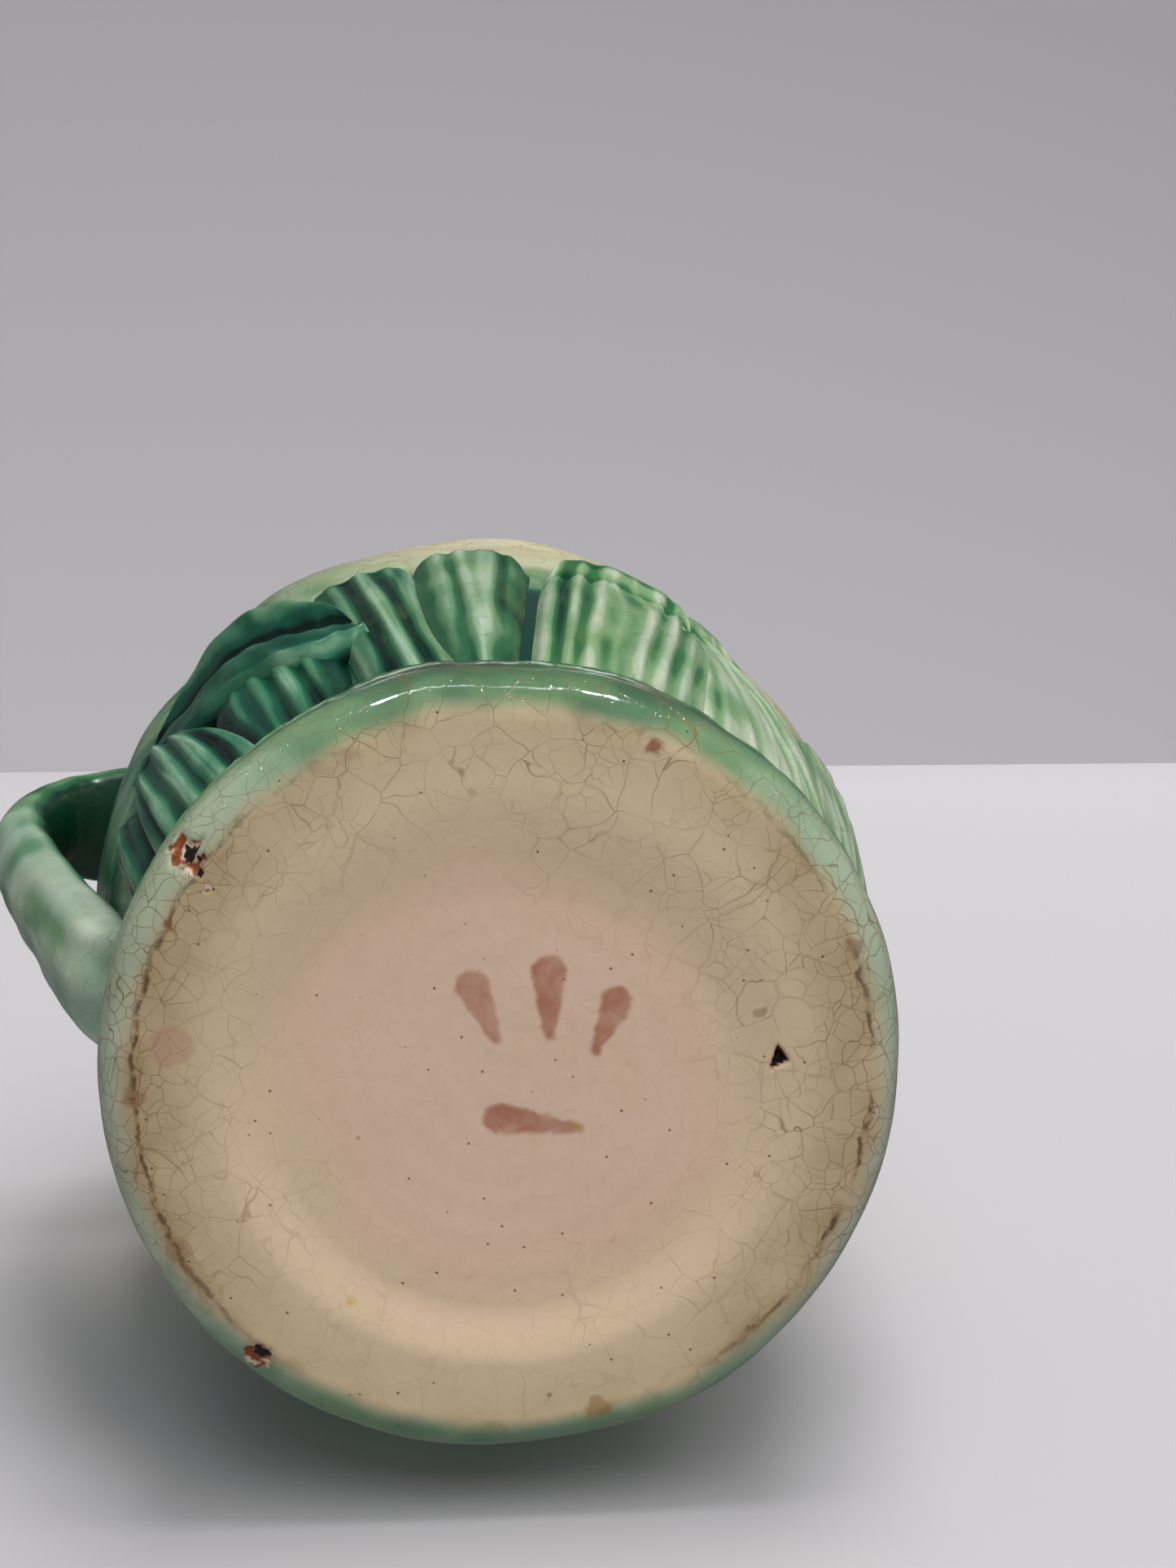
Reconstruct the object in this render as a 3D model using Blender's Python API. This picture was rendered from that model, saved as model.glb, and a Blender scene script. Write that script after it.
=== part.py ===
"""Leaf pitcher: a lidless earthenware jug on a separate foot disc, with a pulled handle and
a sleeve of applied husk leaves round the lower belly.

Frame: metres, +Z up. The foot rests on z = 0 and the jug's axis is vertical. The handle points
along -X and the spout along +X. The origin is the centre of the whole footprint, so the jug's
own axis stands at x = AXIS_X, because the handle reaches further out than the spout.
"""
import math

import bmesh
import bpy
from mathutils import Vector

MM = 0.001

# Driving dimensions
HEIGHT = 148.0 * MM          # table to rim, away from the spout
FOOT_RADIUS = 42.5 * MM
FOOT_HEIGHT = 8.0 * MM
FOOT_EDGE_WIDTH = 5.0 * MM   # rounding of the foot's lower edge, inwards
FOOT_EDGE_RISE = 6.0 * MM    # and upwards
RING_INNER = 31.0 * MM       # inner radius of the flat ring that the jug stands on
RECESS_RADIUS = 26.5 * MM    # flat middle of the hollowed underside
RECESS_DEPTH = 2.2 * MM
JOINT_GAP = 0.3 * MM         # slip joint between two fired pieces
WALL = 4.6 * MM
FLOOR_TOP = 14.0 * MM        # inside of the bottom
SPOUT_REACH = 14.0 * MM      # how far the lip is drawn out past the rim
SPOUT_LIFT = 4.0 * MM
SPOUT_SPREAD = math.radians(24.0)
SPOUT_START = 116.0 * MM     # height where the lip starts to leave the round
LEAF_THICK = 2.6 * MM
LEAF_BASE = 9.0 * MM
FOLD_THICK = 2.2 * MM
HANDLE_OUTER = 70.0 * MM     # jug axis to the outside of the handle
RIM_RADIUS = 46.0 * MM
RIM_CROWN = 0.8 * MM         # how far the rounded rim rises past the wall's height
FLOOR_RADIUS = 30.0 * MM     # flat middle of the inside

SEGMENTS = 48                # sides of the turned pieces
RINGS = 18                   # steps up the body wall
AXIS_X = (HANDLE_OUTER - (RIM_RADIUS + SPOUT_REACH)) / 2

# Outer side of the body wall, (radius, height) in millimetres, from the foot to the rim
WALL_OUTLINE = [(37.0, 8.3), (40.6, 18.0), (43.6, 30.0), (46.3, 44.0), (48.6, 58.0),
                (50.9, 71.0), (51.9, 84.0), (50.9, 96.0), (48.3, 107.0), (45.6, 117.0),
                (43.9, 126.0), (43.7, 134.0), (44.6, 141.0), (46.0, 148.0)]

# Handle centreline in its own upright plane, (distance from the axis, height) in millimetres
HANDLE_PATH = [(40.0, 22.0), (45.0, 32.0), (51.0, 50.0), (57.0, 69.0), (61.6, 85.0),
               (64.6, 98.0), (65.4, 108.0), (63.6, 117.5), (58.6, 123.0), (50.5, 125.0),
               (39.5, 125.5)]
# Half width across the plane and half depth in it at the same points, in millimetres
HANDLE_SECTION = [(7.6, 5.2), (7.0, 5.2), (6.3, 5.0), (6.0, 4.8), (6.0, 4.6), (6.2, 4.6),
                  (6.6, 4.6), (7.2, 4.6), (8.4, 4.8), (9.8, 5.2), (11.0, 5.8)]

# Leaves of one side, from the spout to the handle: azimuth limits in degrees, tip height in mm
SIDE_LEAVES = [(14.0, 37.0, 52.0), (37.0, 63.5, 50.0), (63.5, 90.0, 57.0), (90.0, 103.0, 58.0),
               (103.0, 117.0, 58.0), (117.0, 132.0, 31.0), (132.0, 157.0, 42.0),
               (157.0, 167.0, 44.0)]
FRONT_LEAF = (-14.0, 14.0, 50.0)
LEAF_SPACING = 1.0           # degrees left free between neighbours
# Folded leaf of one side: its midline from stem to tip, (azimuth, height, half height)
FOLD_MIDLINE = [(149.0, 55.0, 5.0), (141.0, 51.5, 10.5), (134.0, 47.5, 12.0),
                (125.0, 41.5, 11.5), (117.5, 35.5, 6.0), (112.5, 31.8, 1.2)]

GLAZE_GREEN = (0.18, 0.42, 0.27, 1.0)
GLAZE_PALE_GREEN = (0.33, 0.52, 0.36, 1.0)
GLAZE_TEAL = (0.05, 0.26, 0.20, 1.0)
GLAZE_YELLOW = (0.80, 0.72, 0.45, 1.0)
GLAZE_CREAM = (0.80, 0.66, 0.52, 1.0)


def clear_scene():
    for obj in list(bpy.data.objects):
        bpy.data.objects.remove(obj, do_unlink=True)


def glaze(name, colour, roughness=0.18):
    """A glossy fired glaze."""
    material = bpy.data.materials.new(name)
    material.use_nodes = True
    shader = material.node_tree.nodes["Principled BSDF"]
    shader.inputs["Base Color"].default_value = colour
    shader.inputs["Roughness"].default_value = roughness
    shader.inputs["Metallic"].default_value = 0.0
    return material


def hermite(points, t):
    """A smooth curve through the points; t runs from 0 to 1 over all of them."""
    last = len(points) - 1
    at = min(max(t, 0.0), 1.0) * last
    i = min(int(at), last - 1)
    s = at - i
    p0, p1 = Vector(points[i]), Vector(points[i + 1])
    before = Vector(points[i - 1]) if i > 0 else p0
    after = Vector(points[i + 2]) if i + 2 <= last else p1
    m0 = (p1 - before) / 2
    m1 = (after - p0) / 2
    return (p0 * (2 * s ** 3 - 3 * s ** 2 + 1) + m0 * (s ** 3 - 2 * s ** 2 + s)
            + p1 * (3 * s ** 2 - 2 * s ** 3) + m1 * (s ** 3 - s ** 2))


def wall_radius(z):
    """Outer radius of the round wall at height z, both in metres."""
    target = z / MM
    low, high = 0.0, 1.0
    for _ in range(30):
        mid = (low + high) / 2
        if hermite(WALL_OUTLINE, mid).y < target:
            low = mid
        else:
            high = mid
    return hermite(WALL_OUTLINE, low).x * MM


def smoothstep(x):
    x = min(max(x, 0.0), 1.0)
    return x * x * (3 - 2 * x)


def add_object(name, bm, material, jug_axis):
    mesh = bpy.data.meshes.new(name)
    bm.to_mesh(mesh)
    bm.free()
    mesh.shade_smooth()
    mesh.set_sharp_from_angle(angle=math.radians(40))
    mesh.materials.append(material)
    obj = bpy.data.objects.new(name, mesh)
    bpy.context.scene.collection.objects.link(obj)
    obj.parent = jug_axis
    return obj


def turn(profile, segments):
    """A closed turned solid from (radius, height) points that start and end on the axis."""
    bm = bmesh.new()
    verts = [bm.verts.new((r, 0.0, z)) for r, z in profile]
    edges = [bm.edges.new(pair) for pair in zip(verts, verts[1:])]
    bmesh.ops.spin(bm, geom=verts + edges, cent=(0, 0, 0), axis=(0, 0, 1),
                   angle=2 * math.pi, steps=segments, use_merge=True)
    bmesh.ops.remove_doubles(bm, verts=bm.verts, dist=0.01 * MM)
    bmesh.ops.recalc_face_normals(bm, faces=bm.faces)
    return bm


def foot_disc(jug_axis):
    """The luted foot: a thick disc with a rounded lower edge and a shallow hollow underneath."""
    profile = [(0.0, RECESS_DEPTH), (RECESS_RADIUS, RECESS_DEPTH), (RING_INNER, 0.0),
               (FOOT_RADIUS - FOOT_EDGE_WIDTH, 0.0)]
    for step in range(1, 6):
        angle = math.radians(90 * step / 5)
        profile.append((FOOT_RADIUS - FOOT_EDGE_WIDTH * (1 - math.sin(angle)),
                        FOOT_EDGE_RISE * (1 - math.cos(angle))))
    profile.append((FOOT_RADIUS - 0.3 * MM, FOOT_HEIGHT - 0.8 * MM))
    profile.append((FOOT_RADIUS - 1.5 * MM, FOOT_HEIGHT))
    profile.append((0.0, FOOT_HEIGHT))
    return add_object("foot_disc", turn(profile, SEGMENTS), glaze("foot", GLAZE_CREAM), jug_axis)


def draw_spout(bm):
    """Pull the upper wall out and up into a lip around the +X direction."""
    for vert in bm.verts:
        rise = smoothstep((vert.co.z - SPOUT_START) / (HEIGHT - SPOUT_START))
        azimuth = math.atan2(vert.co.y, vert.co.x)
        pull = rise * math.exp(-(azimuth / SPOUT_SPREAD) ** 2)
        radial = Vector((vert.co.x, vert.co.y, 0.0))
        if radial.length > 0:
            vert.co += radial.normalized() * SPOUT_REACH * pull
        vert.co.z += SPOUT_LIFT * pull * rise


def body_wall(jug_axis):
    """The hollow belly, neck, rim and drawn spout: one thrown wall with its own bottom."""
    outer = [hermite(WALL_OUTLINE, i / RINGS) * MM for i in range(RINGS + 1)]
    inner = []
    for r, z in reversed(outer):
        if z > FLOOR_TOP + 3 * MM:
            inner.append((r - WALL, z))
    profile = [(0.0, outer[0].y)] + [(p.x, p.y) for p in outer]
    profile += [(inner[0][0] + 0.5 * WALL, HEIGHT + RIM_CROWN)]
    profile += inner + [(FLOOR_RADIUS, FLOOR_TOP), (0.0, FLOOR_TOP)]
    bm = turn(profile, SEGMENTS)
    draw_spout(bm)
    return add_object("body_wall", bm, glaze("body", GLAZE_YELLOW), jug_axis)


def wall_cutter(jug_axis):
    """The body's outer shape plus the slip joint; it trims both ends of the handle."""
    outer = [hermite(WALL_OUTLINE, i / RINGS) * MM for i in range(RINGS + 1)]
    profile = [(0.0, 0.0)] + [(p.x + JOINT_GAP, p.y) for p in outer] + [(0.0, HEIGHT)]
    cutter = add_object("handle_end_cutter", turn(profile, SEGMENTS), glaze("cutter", GLAZE_CREAM),
                        jug_axis)
    cutter.hide_render = True
    cutter.display_type = "WIRE"
    return cutter


def handle(jug_axis, cutter):
    """The pulled handle: an oval strap on an ear-shaped path, widening at both roots."""
    stations, sides = 26, 14
    bm = bmesh.new()
    loops = []
    for i in range(stations + 1):
        t = i / stations
        centre = hermite(HANDLE_PATH, t) * MM
        ahead = hermite(HANDLE_PATH, min(t + 0.01, 1.0))
        behind = hermite(HANDLE_PATH, max(t - 0.01, 0.0))
        tangent = (ahead - behind).normalized()
        outward = Vector((tangent.y, -tangent.x))
        half_width, half_depth = hermite(HANDLE_SECTION, t) * MM
        ring = []
        for k in range(sides):
            angle = 2 * math.pi * k / sides
            depth = half_depth * math.cos(angle)
            ring.append(bm.verts.new((-(centre.x + outward.x * depth),
                                      half_width * math.sin(angle),
                                      centre.y + outward.y * depth)))
        loops.append([bm.edges.new(pair) for pair in zip(ring, ring[1:] + ring[:1])])
    for first, second in zip(loops, loops[1:]):
        bmesh.ops.bridge_loops(bm, edges=first + second)
    bmesh.ops.holes_fill(bm, edges=bm.edges, sides=sides)
    bmesh.ops.recalc_face_normals(bm, faces=bm.faces)
    obj = add_object("handle", bm, glaze("handle", GLAZE_GREEN), jug_axis)
    trim = obj.modifiers.new("trim_to_wall", "BOOLEAN")
    trim.operation = "DIFFERENCE"
    trim.solver = "EXACT"
    trim.object = cutter
    return obj


def bent_plate(columns, rows, place, thickness):
    """A closed plate: a grid placed point by point on the wall, then thickened outwards."""
    bm = bmesh.new()
    bmesh.ops.create_grid(bm, x_segments=columns, y_segments=rows, size=1.0)
    for vert in bm.verts:
        azimuth, height, lift = place(vert.co.x, (vert.co.y + 1) / 2)
        radius = wall_radius(height) + lift
        vert.co = (radius * math.cos(azimuth), radius * math.sin(azimuth), height)
    bmesh.ops.recalc_face_normals(bm, faces=bm.faces)
    facing = sum(face.normal.dot(face.calc_center_median() * Vector((1, 1, 0)))
                 for face in bm.faces)
    if facing < 0:
        bmesh.ops.reverse_faces(bm, faces=bm.faces)
    bmesh.ops.solidify(bm, geom=bm.faces, thickness=thickness)
    if bm.calc_volume(signed=True) < 0:
        bmesh.ops.reverse_faces(bm, faces=bm.faces)
    return bm


def husk_leaf(name, start, end, tip, material, jug_axis):
    """One upright leaf between two azimuths in degrees, rounded off at the tip height in mm."""
    middle = math.radians((start + end) / 2)
    half = math.radians((end - start - LEAF_SPACING) / 2)

    def place(u, v):
        shoulder = smoothstep((v - 0.6) / 0.4)
        azimuth = middle + u * half * (1 - 0.3 * shoulder)
        rise = v * (1 - 0.14 * u * u * shoulder)
        return azimuth, LEAF_BASE + (tip * MM - LEAF_BASE) * rise, JOINT_GAP

    plate = bent_plate(4, 6, place, -LEAF_THICK)
    return add_object(name, plate, material, jug_axis)


def folded_leaf(name, side, material, jug_axis):
    """A long leaf bent over sideways on top of the upright ones; side is +1 or -1 in Y."""
    def place(u, v):
        azimuth, height, half_height = hermite(FOLD_MIDLINE, v)
        lift = JOINT_GAP + LEAF_THICK + JOINT_GAP
        return side * math.radians(azimuth), (height + u * half_height) * MM, lift

    plate = bent_plate(5, 9, place, -FOLD_THICK)
    return add_object(name, plate, material, jug_axis)


def build():
    clear_scene()
    jug_axis = bpy.data.objects.new("jug_axis", None)
    bpy.context.scene.collection.objects.link(jug_axis)
    jug_axis.location = (AXIS_X, 0.0, 0.0)

    foot_disc(jug_axis)
    body_wall(jug_axis)
    handle(jug_axis, wall_cutter(jug_axis))

    leaf_green = glaze("leaf", GLAZE_PALE_GREEN)
    start, end, tip = FRONT_LEAF
    husk_leaf("husk_leaf_front", start, end, tip, leaf_green, jug_axis)
    for number, (start, end, tip) in enumerate(SIDE_LEAVES, 1):
        husk_leaf(f"husk_leaf_right_{number}", -end, -start, tip, leaf_green, jug_axis)
        husk_leaf(f"husk_leaf_left_{number}", start, end, tip, leaf_green, jug_axis)
    teal = glaze("folded_leaf", GLAZE_TEAL)
    folded_leaf("folded_leaf_right", -1, teal, jug_axis)
    folded_leaf("folded_leaf_left", 1, teal, jug_axis)


build()
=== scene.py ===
"""Looks of the leaf pitcher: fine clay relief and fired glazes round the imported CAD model.

The jug stands upright as in the CAD. The camera looks up at its foot, with the jug's -Y side
at the top of the picture, as if the jug lay on a table that touches its +Y side.
"""
import math

import bpy
import numpy as np
from mathutils import Euler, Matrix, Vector

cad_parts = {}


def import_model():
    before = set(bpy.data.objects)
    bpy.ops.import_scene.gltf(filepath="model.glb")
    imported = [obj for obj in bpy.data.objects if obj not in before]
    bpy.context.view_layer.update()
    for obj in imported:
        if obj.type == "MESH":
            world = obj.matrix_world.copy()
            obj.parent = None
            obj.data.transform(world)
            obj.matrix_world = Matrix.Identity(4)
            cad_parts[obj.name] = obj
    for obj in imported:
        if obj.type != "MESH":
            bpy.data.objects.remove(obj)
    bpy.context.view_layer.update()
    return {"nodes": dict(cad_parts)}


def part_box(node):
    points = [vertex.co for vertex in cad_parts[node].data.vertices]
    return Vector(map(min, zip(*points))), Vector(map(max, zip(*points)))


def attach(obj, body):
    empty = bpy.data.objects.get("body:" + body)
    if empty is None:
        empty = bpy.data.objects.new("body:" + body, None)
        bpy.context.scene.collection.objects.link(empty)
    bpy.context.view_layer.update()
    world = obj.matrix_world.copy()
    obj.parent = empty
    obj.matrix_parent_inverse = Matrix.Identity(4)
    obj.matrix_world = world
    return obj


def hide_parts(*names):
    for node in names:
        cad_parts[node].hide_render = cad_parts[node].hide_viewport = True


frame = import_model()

MM = 0.001

# ---------------------------------------------------------------- places read from the frame
foot_low, foot_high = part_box("foot_disc")
_, body_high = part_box("body_wall")
AXIS_X = (foot_low.x + foot_high.x) / 2
FOOT_RADIUS = (foot_high.x - foot_low.x) / 2 / MM

# The turned wall, the pulled handle and the bent leaf follow the same lines as the CAD ones.
# All of these are in millimetres, measured from the jug's axis and the table.
WALL_OUTLINE = [(37.0, 8.3), (40.6, 18.0), (43.6, 30.0), (46.3, 44.0), (48.6, 58.0),
                (50.9, 71.0), (51.9, 84.0), (50.9, 96.0), (48.3, 107.0), (45.6, 117.0),
                (43.9, 126.0), (43.7, 134.0), (44.6, 141.0), (46.0, 148.0)]
RIM_RADIUS, RIM_HEIGHT = WALL_OUTLINE[-1]
WALL_THICK = 4.6
FLOOR_TOP = 14.0
SPOUT_REACH = (body_high.x - AXIS_X) / MM - RIM_RADIUS
SPOUT_LIFT = body_high.z / MM - RIM_HEIGHT - 0.8
SPOUT_SPREAD = math.radians(24.0)
SPOUT_START = 116.0
HANDLE_PATH = [(40.0, 22.0), (45.0, 32.0), (51.0, 50.0), (57.0, 69.0), (61.6, 85.0),
               (64.6, 98.0), (65.4, 108.0), (63.6, 117.5), (58.6, 123.0), (50.5, 125.0),
               (39.5, 125.5)]
HANDLE_SECTION = [(7.6, 5.2), (7.0, 5.2), (6.3, 5.0), (6.0, 4.8), (6.0, 4.6), (6.2, 4.6),
                  (6.6, 4.6), (7.2, 4.6), (8.4, 4.8), (9.8, 5.2), (11.0, 5.8)]
# The bent leaf from its root to its tip: angle, middle height, half height, height of the fold.
FOLD_MIDLINE = [(158.0, 54.0, 6.0, 60.0), (149.5, 52.6, 8.6, 58.0), (142.0, 50.6, 10.8, 54.0),
                (135.5, 47.9, 11.6, 49.8), (130.0, 46.2, 12.8, 46.4), (125.0, 43.8, 12.8, 42.0),
                (120.6, 39.2, 9.8, 38.0), (117.2, 35.4, 5.9, 36.2),
                (114.6, 32.9, 3.0, 34.2), (112.6, 31.3, 0.5, 31.4)]
GLAZE_LINE = 63.0            # height where the green of the leaves gives way to yellow
RIB_SPACING = 3.6            # degrees between the fine ribs of a leaf

# How the leaves lie, by number from the spout round to the handle. near and far say how many
# degrees each side reaches beyond the CAD leaf, from its foot to its tip; top gives the height
# of the tip's near corner, middle and far corner. A groove is pressed from low to high: its
# angle at 15 and at 50 millimetres, its half width and its depth in millimetres. over: it lies
# over its neighbours. thick, rolled, crown and bead: the heights of its plate, margin, middle and
# of a swelling under its tip. ribs, ribbed, sharp and worn: the number, height, narrowness and
# wear of its fine ribs. deep: how much darker its glaze is. shade: the width of its dark sides,
# pooled glaze and painted shade where neighbouring leaves lie over them.
LEAF_DEFAULTS = {"over": False, "near": (0,) * 5, "far": (0,) * 5, "crown": 0.7, "bead": 0.0,
                 "ribbed": 1.0, "sharp": 4.0, "worn": 0.0, "deep": 0.0, "shade": 1.6}
LEAF_FORMS = {
    1: {"near": (1.5, 1.5, 1, 0, -2), "far": (4, 5, 6, 6, 5), "top": (52, 57, 57),
        "worn": 0.55,
        "grooves": [(17, 22, 0.6, 0.5), (22, 30, 0.8, 0.8), (28.1, 38, 0.6, 0.5)]},
    2: {"over": True, "near": (10.5, 6.5, 0, -7, -14), "far": (1, 1, 1, 2, 3),
        "top": (57, 62, 63), "rolled": 0.3, "crown": 0.6, "bead": 0.5, "worn": 0.5, "deep": -0.02,
        "thick": 1.7,
        "grooves": [(28.5, 50.5, 0.8, 0.8), (36.1, 60.0, 0.9, 0.9), (43.0, 60.0, 0.5, 0.45),
                    (51.5, 60.5, 0.6, 0.35)]},
    3: {"over": True, "near": (2.2, 2.7, 4, 4.5, 1), "far": (1.6, 0.4, -1, -2.6, -4.0),
        "top": (62, 63, 63), "rolled": 0.45, "deep": 0.03, "crown": 0.6, "bead": 0.9, "worn": 0.15,
        "thick": 1.9,
        "grooves": [(87.2, 83.6, 0.85, 0.95), (84.0, 79.8, 0.75, 0.8), (79.0, 73.1, 1.9, 0.34),
                    (73.5, 68.0, 0.6, 0.5), (69.3, 64.5, 0.65, 0.75)]},
    4: {"near": (-2.4, -1.2, 0.3, 1.6, 2.8), "far": (1.5, 2, 3, 3.5, 3.5),
        "top": (64, 65, 64), "crown": 1.2, "shade": 2.0, "deep": 0.02,
        "ribbed": 0.9, "ribs": 5, "sharp": 1.2,
        "grooves": [(94.2, 92.4, 0.7, 0.7), (99.2, 99.6, 0.6, 0.6)]},
    5: {"over": True, "near": (8.5, 1.9, -0.5, -1.3, -0.7), "far": (-1, -0.5, 1, 3.5, 6),
        "top": (62, 61, 56), "rolled": 0.35, "deep": 0.12, "thick": 2.0,
        "grooves": [(105.0, 109.4, 0.75, 0.85), (110.5, 114.1, 0.85, 0.95)]},
    6: {"far": (4, 6, 8, 9, 9), "top": (38, 40, 40),
        "shade": 3.2, "deep": 0.04,
        "grooves": [(117.2, 121.0, 1.3, 1.0), (122.1, 127.3, 0.65, 0.9),
                    (127.1, 130.9, 0.7, 0.8)]},
    7: {"over": True, "near": (2.5, 0.2, -3.1, -6.7, -12.3), "far": (1, 1, 1, 1, 0),
        "top": (42.5, 46, 45), "rolled": 0.5, "deep": -0.08,
        "grooves": [(137.7, 144.9, 0.7, 0.8), (143.1, 148.8, 0.6, 0.7),
                    (148.4, 152.2, 1.2, 0.7), (152.9, 155.7, 0.6, 0.6)]},
    8: {"near": (1, 1, 1, 1, 1), "top": (44, 45, 43),
        "grooves": [(159.3, 160.6, 0.6, 0.7), (163.4, 163.6, 0.6, 0.6)]},
}
FRONT_FORM = {"near": (1.5,) * 5, "far": (1.5,) * 5, "top": (50, 56, 50),
              "grooves": [(-10.0, -6.0, 0.6, 0.6), (-5.0, -2.5, 0.5, 0.5), (0.5, 0.5, 0.8, 0.8),
                          (5.5, 3.0, 0.5, 0.5), (10.5, 6.5, 0.6, 0.6)]}

# Underside: places are (azimuth in degrees, distance from the axis in millimetres)
RECESS_DEPTH = 1.5
RECESS_INNER = 25.0
RECESS_OUTER = 31.5
FOOT_EDGE_WIDTH = 5.0
FOOT_EDGE_RISE = 6.0
# Where the hand-made outline of the foot swells or flattens: azimuth, half width, millimetres
FOOT_SWELLS = [(50, 13, 0.35), (78, 12, -0.5), (-3, 9, -0.25), (-108, 9, 0.35), (-94, 8, -0.35),
               (-62, 8, -0.35), (-150, 14, 0.15), (128, 12, 0.15)]
# Where the belly is flatter than a true circle, in the same way
BELLY_FLATS = [(-52, 12, -1.8), (-76, 9, -0.5), (-141, 9, -1.6), (-103, 14, -0.7)]
# Flaws in the fired clay: azimuth, distance, size and depth in millimetres
CHIPS = [(-148.6, 40.3, 1.9, 0.9), (-149.6, 38.6, 0.8, 0.6), (126.5, 39.6, 1.7, 0.5),
         (-150.8, 36.6, 0.45, 0.4)]
# The three-cornered hole on the +X side: its place, and its corners from there in millimetres
PIT_PLACE = (-8.1, 28.4)
PIT_CORNERS = [(-0.27, -1.56), (1.2, 0.16), (-0.86, 1.35)]
PIT_DEPTH = 1.2
# Stains under the glaze: azimuth, distance, size, strength and colour
FOOT_STAINS = [(-177.8, 34.6, 2.2, 0.5, (176, 132, 112)), (-71.8, 37.7, 0.8, 0.8, (122, 66, 34)),
               (70.3, 37.6, 1.3, 0.6, (146, 108, 46)), (119.6, 29.2, 0.4, 0.8, (196, 160, 60)),
               (32.4, 9.1, 0.4, 0.7, (208, 172, 96)), (147.7, 38.4, 1.4, 0.35, (120, 82, 46)),
               (-25.5, 38.4, 1.0, 0.5, (118, 78, 44)), (173.3, 38.4, 1.2, 0.5, (132, 92, 56))]
# Plain brush dabs: middle x and y, heading in degrees, length and width
FOOT_DABS = [(-3.0, -6.5, 62.0, 6.0, 3.6), (3.6, -8.0, 84.0, 6.6, 3.8),
             (9.8, -6.0, 108.0, 5.6, 3.4), (3.8, 5.0, 4.0, 8.6, 3.4)]

# ---------------------------------------------------------------- places on the stage, in metres
# The table that the jug lies on in the main view, touching its +Y side. It nears the axis
# towards the foot, and it is turned a little about the axis because the jug has rolled.
TABLE_GAP = 0.0490           # from the axis, at the foot
TABLE_SLOPE = 0.063
TABLE_TURN = math.radians(5.0)
TABLE_START, TABLE_END = -0.25, 0.90
TABLE_REACH, WALL_REACH, FLOOR_REACH = 1.6, 2.4, 2.5
FLOOR_LEVEL = -0.3 * MM      # just under the foot, so that the two don't flicker together
# Greys, and where a grey that drifts along an axis begins and ends. The drifts are painted light:
# the table lightens away from the camera, the wall towards the table.
VIOLET = 0.97                # how much less green there is in the greys
FLOOR_GREY = (0.66,)
TABLE_GREY_AND_PAINTED_LIGHT = (0.46, 0.64, "Z", -0.05, 0.8)
WALL_GREY_AND_PAINTED_LIGHT = (0.42, 0.68, "Y", -0.3, 0.1)
# Soft lights: name, place from the jug's axis, size and power in watts
SOFT_LIGHTS = [("key", (0.08, -1.15, -0.6), (1.3, 1.3), 13.3),
               ("high", (0.05, -2.6, 0.2), (1.2, 1.2), 44.0),
               ("foot_fill", (0.2, -0.3, -1.25), (1.0, 1.0), 3.0),
               ("top_fill", (0.3, -0.8, 1.1), (1.0, 1.0), 3.0),
               ("back_fill", (-0.9, 0.9, 0.9), (1.0, 1.0), 7.0)]
# Lights that are seen only mirrored in the glaze
GLINTS = [("glint_left", (-0.62, -1.25, 0.056), (0.12, 0.08), 4.5),
          ("glint_right", (0.36, -1.35, 0.087), (0.2, 0.1), 7.0),
          ("glint_line", (-0.13, -1.32, 0.07), (0.9, 0.014), 2.0)]
WORLD_BELOW, WORLD_ABOVE = 0.30, 0.12
# The camera looks up at the foot from the -Y side; its place is from the jug's axis at the foot.
CAMERA_PLACE = Vector((-0.01831, -0.06464, -0.21743))
CAMERA_TURN = (170.842, 5.371, -5.365)
CAMERA_LENS = 50.0


# ---------------------------------------------------------------- numbers and curves
def smoothstep(x, low=0.0, high=1.0):
    t = np.clip((x - low) / (high - low), 0.0, 1.0)
    return t * t * (3 - 2 * t)


def bump(x, centre, width):
    """A smooth hill one high, about two widths across."""
    return np.exp(-((x - centre) / width) ** 2)


def turn_between(angle, centre):
    """The angle from centre in degrees, the short way round."""
    return (angle - centre + 180.0) % 360.0 - 180.0


def out_of_round(azimuth, swells):
    """How far a hand-made outline swells beyond its circle, at an azimuth in degrees."""
    return sum(amount * bump(turn_between(azimuth, centre), 0, width)
               for centre, width, amount in swells)


def polar(azimuth, distance):
    """x and y from an azimuth in degrees and a distance."""
    angle = math.radians(azimuth)
    return distance * math.cos(angle), distance * math.sin(angle)


def hermite(points, t):
    """The smooth curve through the points, at every t from 0 to 1."""
    points = np.array(points, float)
    padded = np.vstack([points[:1], points, points[-1:]])
    last = len(points) - 1
    at = np.clip(np.asarray(t, float), 0, 1) * last
    i = np.minimum(at.astype(int), last - 1)
    s = (at - i)[..., None]
    before, p0, p1, after = (padded[i + k] for k in range(4))
    m0, m1 = (p1 - before) / 2, (after - p0) / 2
    return (p0 * (2 * s ** 3 - 3 * s ** 2 + 1) + m0 * (s ** 3 - 2 * s ** 2 + s)
            + p1 * (3 * s ** 2 - 2 * s ** 3) + m1 * (s ** 3 - s ** 2))


_outline = hermite(WALL_OUTLINE, np.linspace(0, 1, 400))


def wall_radius(z):
    return np.interp(z, _outline[:, 1], _outline[:, 0])


def belly_radius(azimuth, z):
    """The wall's radius at an azimuth in degrees, with the flat places of the belly."""
    swell = smoothstep(z, 34.0, 66.0) * smoothstep(-z, -125.0, -100.0)
    return wall_radius(z) + swell * out_of_round(azimuth, BELLY_FLATS)


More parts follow.
